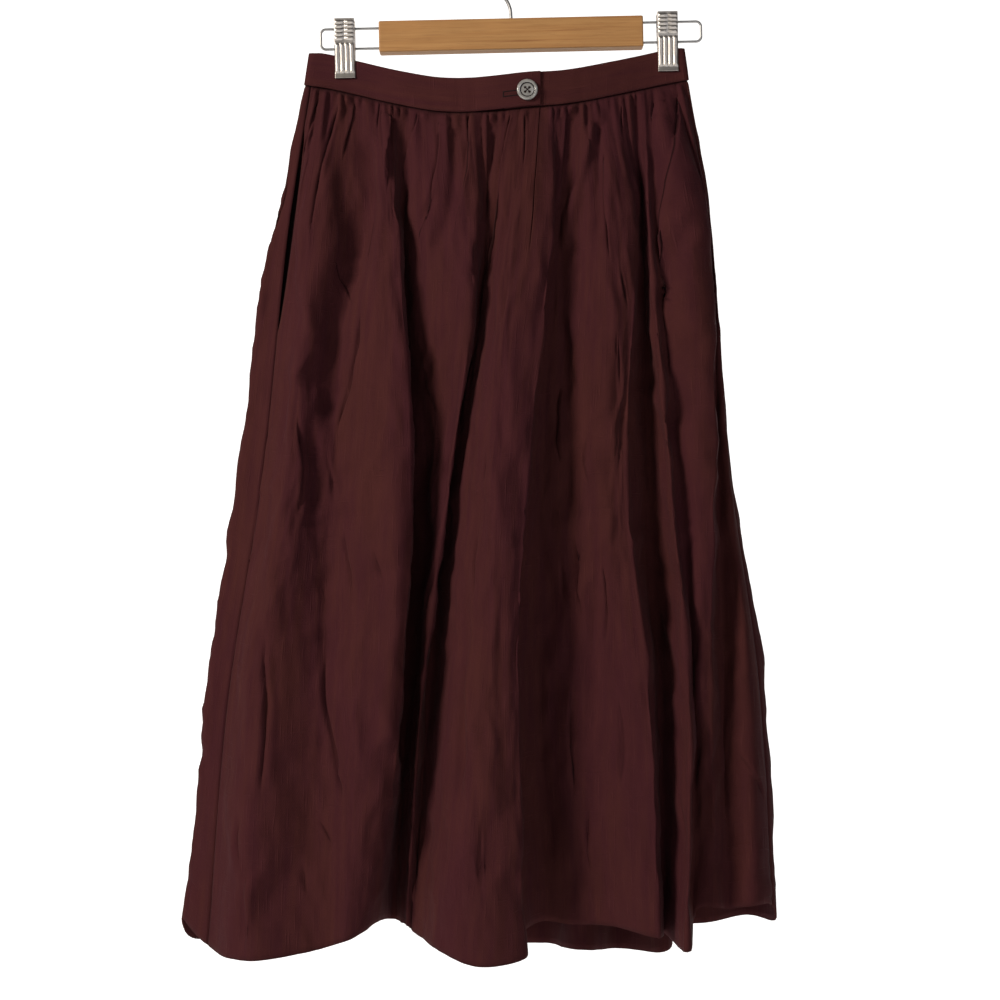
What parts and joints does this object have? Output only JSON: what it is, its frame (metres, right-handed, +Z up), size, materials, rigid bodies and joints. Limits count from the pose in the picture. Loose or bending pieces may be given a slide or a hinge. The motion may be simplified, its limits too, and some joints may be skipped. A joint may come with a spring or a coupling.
{
  "type": "gathered skirt on a clip hanger",
  "caption": "Midi linen skirt, gathered into a waistband with a buttoned lap, hung by its waistband from a wooden clip hanger.",
  "frame": {"origin": "the inside of the top bend of the hanger's hook, where the hook hangs on a rail", "axes": "+X to the right seen from the front, the skirt's front and its button face -Y, +Z up along the hanging line"},
  "size_m": [0.5386, 0.1663, 0.913],
  "materials": {
    "linen": "matt plain weave with a slight sheen",
    "pocket_linen": "matt plain weave",
    "button": "pearly grey, polished",
    "wood": "satin varnish",
    "wire": "plain bright wire",
    "clip_metal": "bright nickel"
  },
  "bodies": {
    "root": {"skirt_front": "linen", "skirt_back": "linen", "waistband": "linen", "placket_strip": "linen", "pocket_bag_left": "pocket_linen", "pocket_bag_right": "pocket_linen", "button": "button", "hanger_bar": "wood", "hanger_hook": "wire", "hanger_loop_left": "wire", "hanger_loop_right": "wire", "clip_left_front": "clip_metal", "clip_left_back": "clip_metal", "clip_left_spring": "wire", "clip_right_front": "clip_metal", "clip_right_back": "clip_metal", "clip_right_spring": "wire"}
  },
  "joints": []
}
